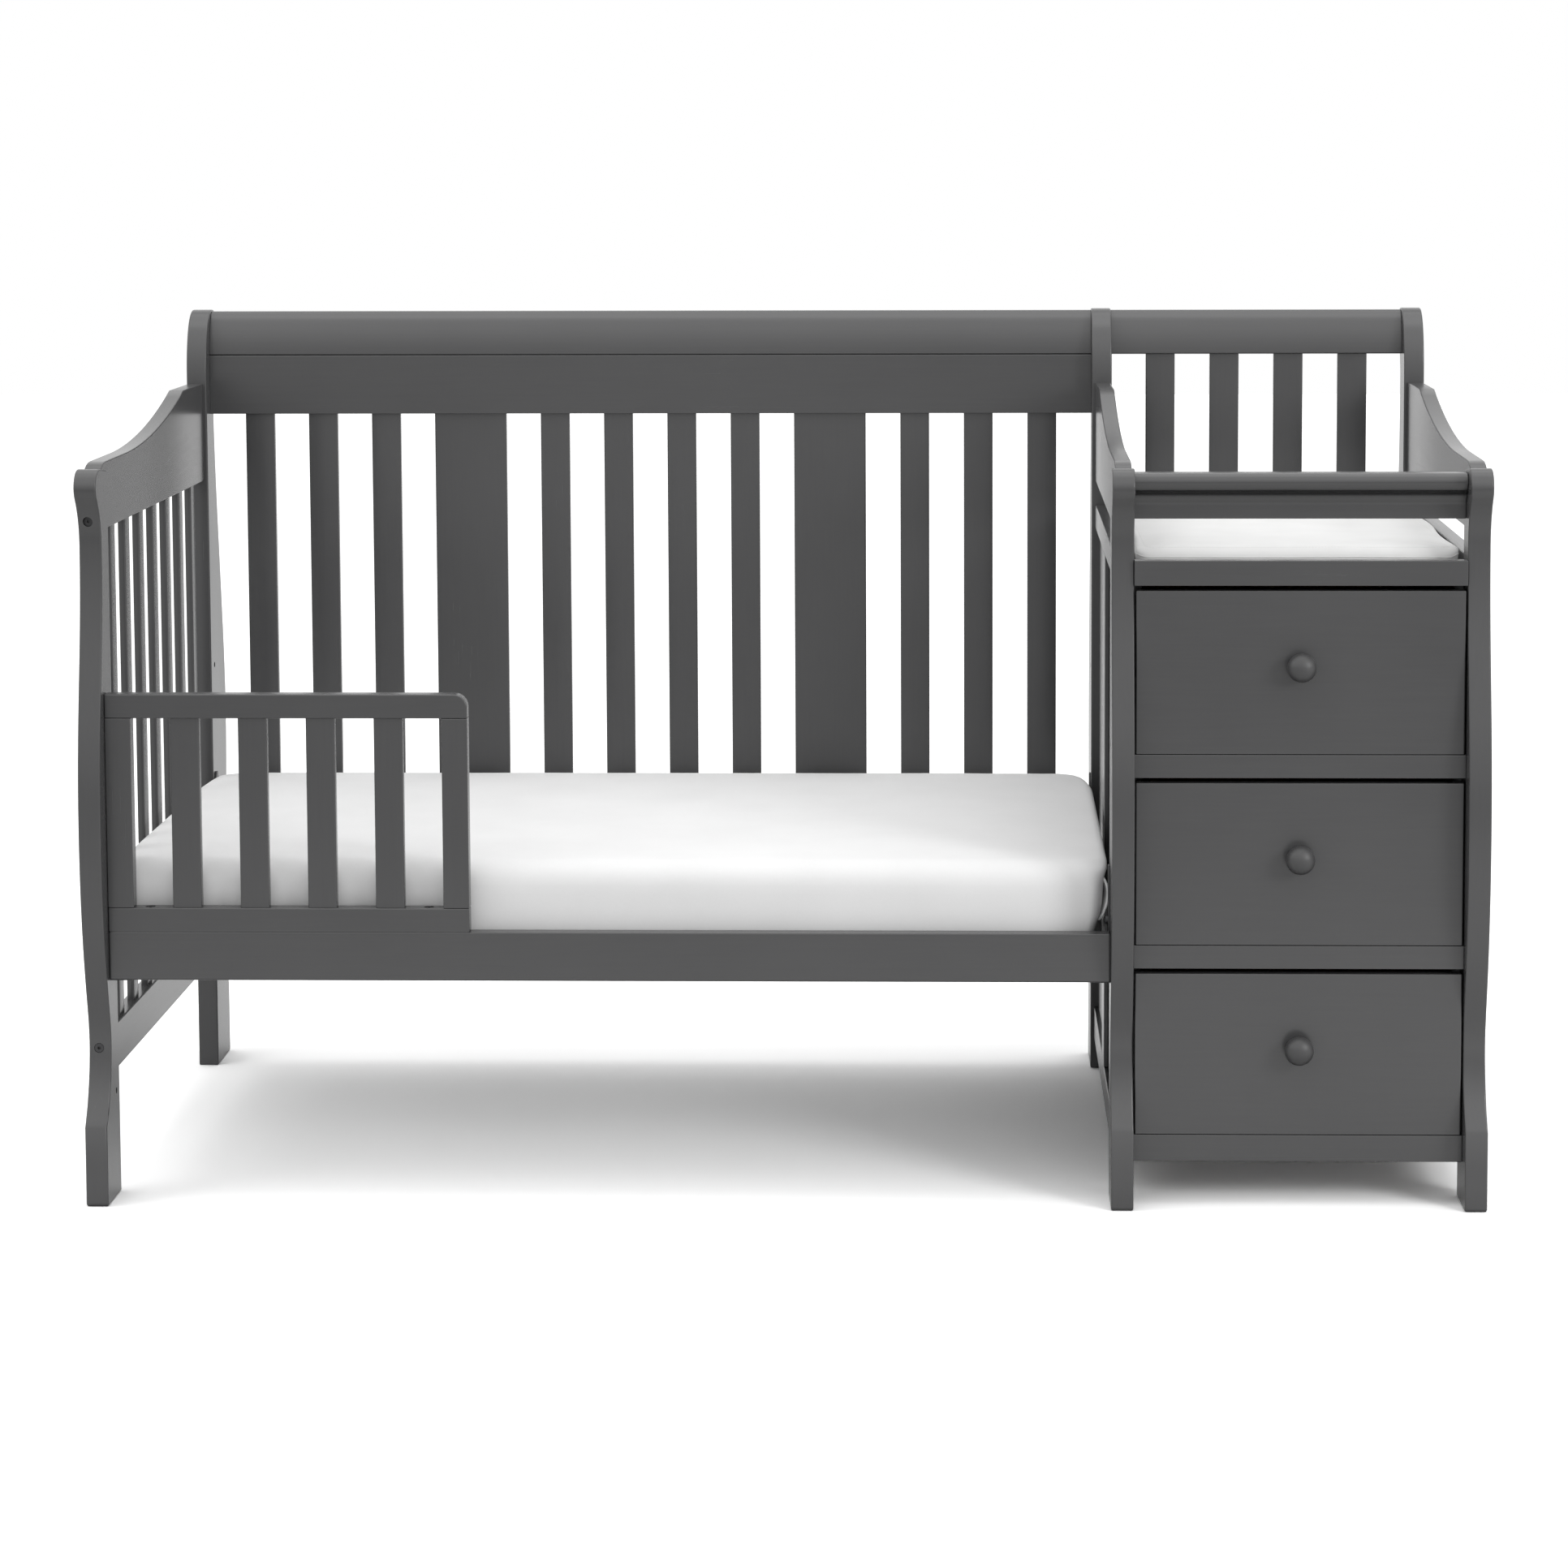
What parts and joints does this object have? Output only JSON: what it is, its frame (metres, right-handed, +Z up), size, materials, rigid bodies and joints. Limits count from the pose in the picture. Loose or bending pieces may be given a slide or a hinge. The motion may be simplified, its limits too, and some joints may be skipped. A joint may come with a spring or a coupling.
{
  "type": "crib with attached changer",
  "caption": "Sleigh-style convertible crib in toddler-bed form with a slatted back, a short guard, a mattress and an attached changing cabinet with drawers.",
  "frame": {"origin": "middle of the footprint, on the floor", "axes": "+X from the crib's free end to the changer, +Y from front to back, +Z up"},
  "size_m": [1.84, 0.8485, 1.143],
  "materials": {
    "dark_grey_paint": "satin painted wood",
    "inner_wood": "clear-lacquered plywood",
    "black_steel": "black powder coat",
    "bright_steel": "zinc-plated",
    "mattress_cover": "woven cotton sheet",
    "pad_cover": "wipe-clean coated cover"
  },
  "bodies": {
    "frame": {"left_front_post": "dark_grey_paint", "left_rear_post": "dark_grey_paint", "left_top_rail": "dark_grey_paint", "left_bottom_rail": "dark_grey_paint", "left_slats": "dark_grey_paint", "middle_front_post": "dark_grey_paint", "middle_rear_post": "dark_grey_paint", "middle_top_rail": "dark_grey_paint", "middle_table_rail": "dark_grey_paint", "middle_foot_rail": "dark_grey_paint", "middle_mullion": "dark_grey_paint", "middle_sunk_panels": "dark_grey_paint", "right_front_post": "dark_grey_paint", "right_rear_post": "dark_grey_paint", "right_top_rail": "dark_grey_paint", "right_table_rail": "dark_grey_paint", "right_foot_rail": "dark_grey_paint", "right_mullion": "dark_grey_paint", "right_sunk_panels": "dark_grey_paint", "crib_crown_rail": "dark_grey_paint", "crib_back_board": "dark_grey_paint", "crib_back_slats": "dark_grey_paint", "crib_back_bottom_rail": "dark_grey_paint", "changer_crown_rail": "dark_grey_paint", "changer_back_slats": "dark_grey_paint", "changer_back_rail": "dark_grey_paint", "stabiliser_rail": "dark_grey_paint", "guard_top_rail": "dark_grey_paint", "guard_bottom_rail": "dark_grey_paint", "guard_stiles": "dark_grey_paint", "guard_slats": "dark_grey_paint", "table_guard_rail": "dark_grey_paint", "changing_shelf": "dark_grey_paint", "cabinet_top_rail": "dark_grey_paint", "cabinet_divider_rails": "dark_grey_paint", "cabinet_base_rail": "dark_grey_paint", "cabinet_back": "dark_grey_paint", "cabinet_side_boards": "dark_grey_paint", "guard_bolts": "black_steel", "support_frame": "black_steel", "support_wires": "bright_steel", "support_hangers": "black_steel", "fixed_runners": "bright_steel", "frame_bolts": "black_steel"},
    "top_drawer": {"top_drawer_front": "dark_grey_paint", "top_drawer_box": "inner_wood", "top_drawer_bottom": "inner_wood", "top_drawer_knob": "dark_grey_paint"},
    "middle_drawer": {"middle_drawer_front": "dark_grey_paint", "middle_drawer_box": "inner_wood", "middle_drawer_bottom": "inner_wood", "middle_drawer_knob": "dark_grey_paint"},
    "bottom_drawer": {"bottom_drawer_front": "dark_grey_paint", "bottom_drawer_box": "inner_wood", "bottom_drawer_bottom": "inner_wood", "bottom_drawer_knob": "dark_grey_paint"},
    "mattress": {"mattress": "mattress_cover"},
    "changing_pad": {"changing_pad": "pad_cover"}
  },
  "joints": [
    {"name": "top_drawer_slide", "type": "slide", "parent": "frame", "child": "top_drawer", "axis": [0, -1, 0], "range_m": [0, 0.42]},
    {"name": "middle_drawer_slide", "type": "slide", "parent": "frame", "child": "middle_drawer", "axis": [0, -1, 0], "range_m": [0, 0.42]},
    {"name": "bottom_drawer_slide", "type": "slide", "parent": "frame", "child": "bottom_drawer", "axis": [0, -1, 0], "range_m": [0, 0.42]},
    {"name": "mattress_lift", "type": "slide", "parent": "frame", "child": "mattress", "axis": [0, 0, 1], "range_m": [0, 0.86]},
    {"name": "changing_pad_lift", "type": "slide", "parent": "frame", "child": "changing_pad", "axis": [0, 0, 1], "range_m": [0, 0.35]}
  ]
}
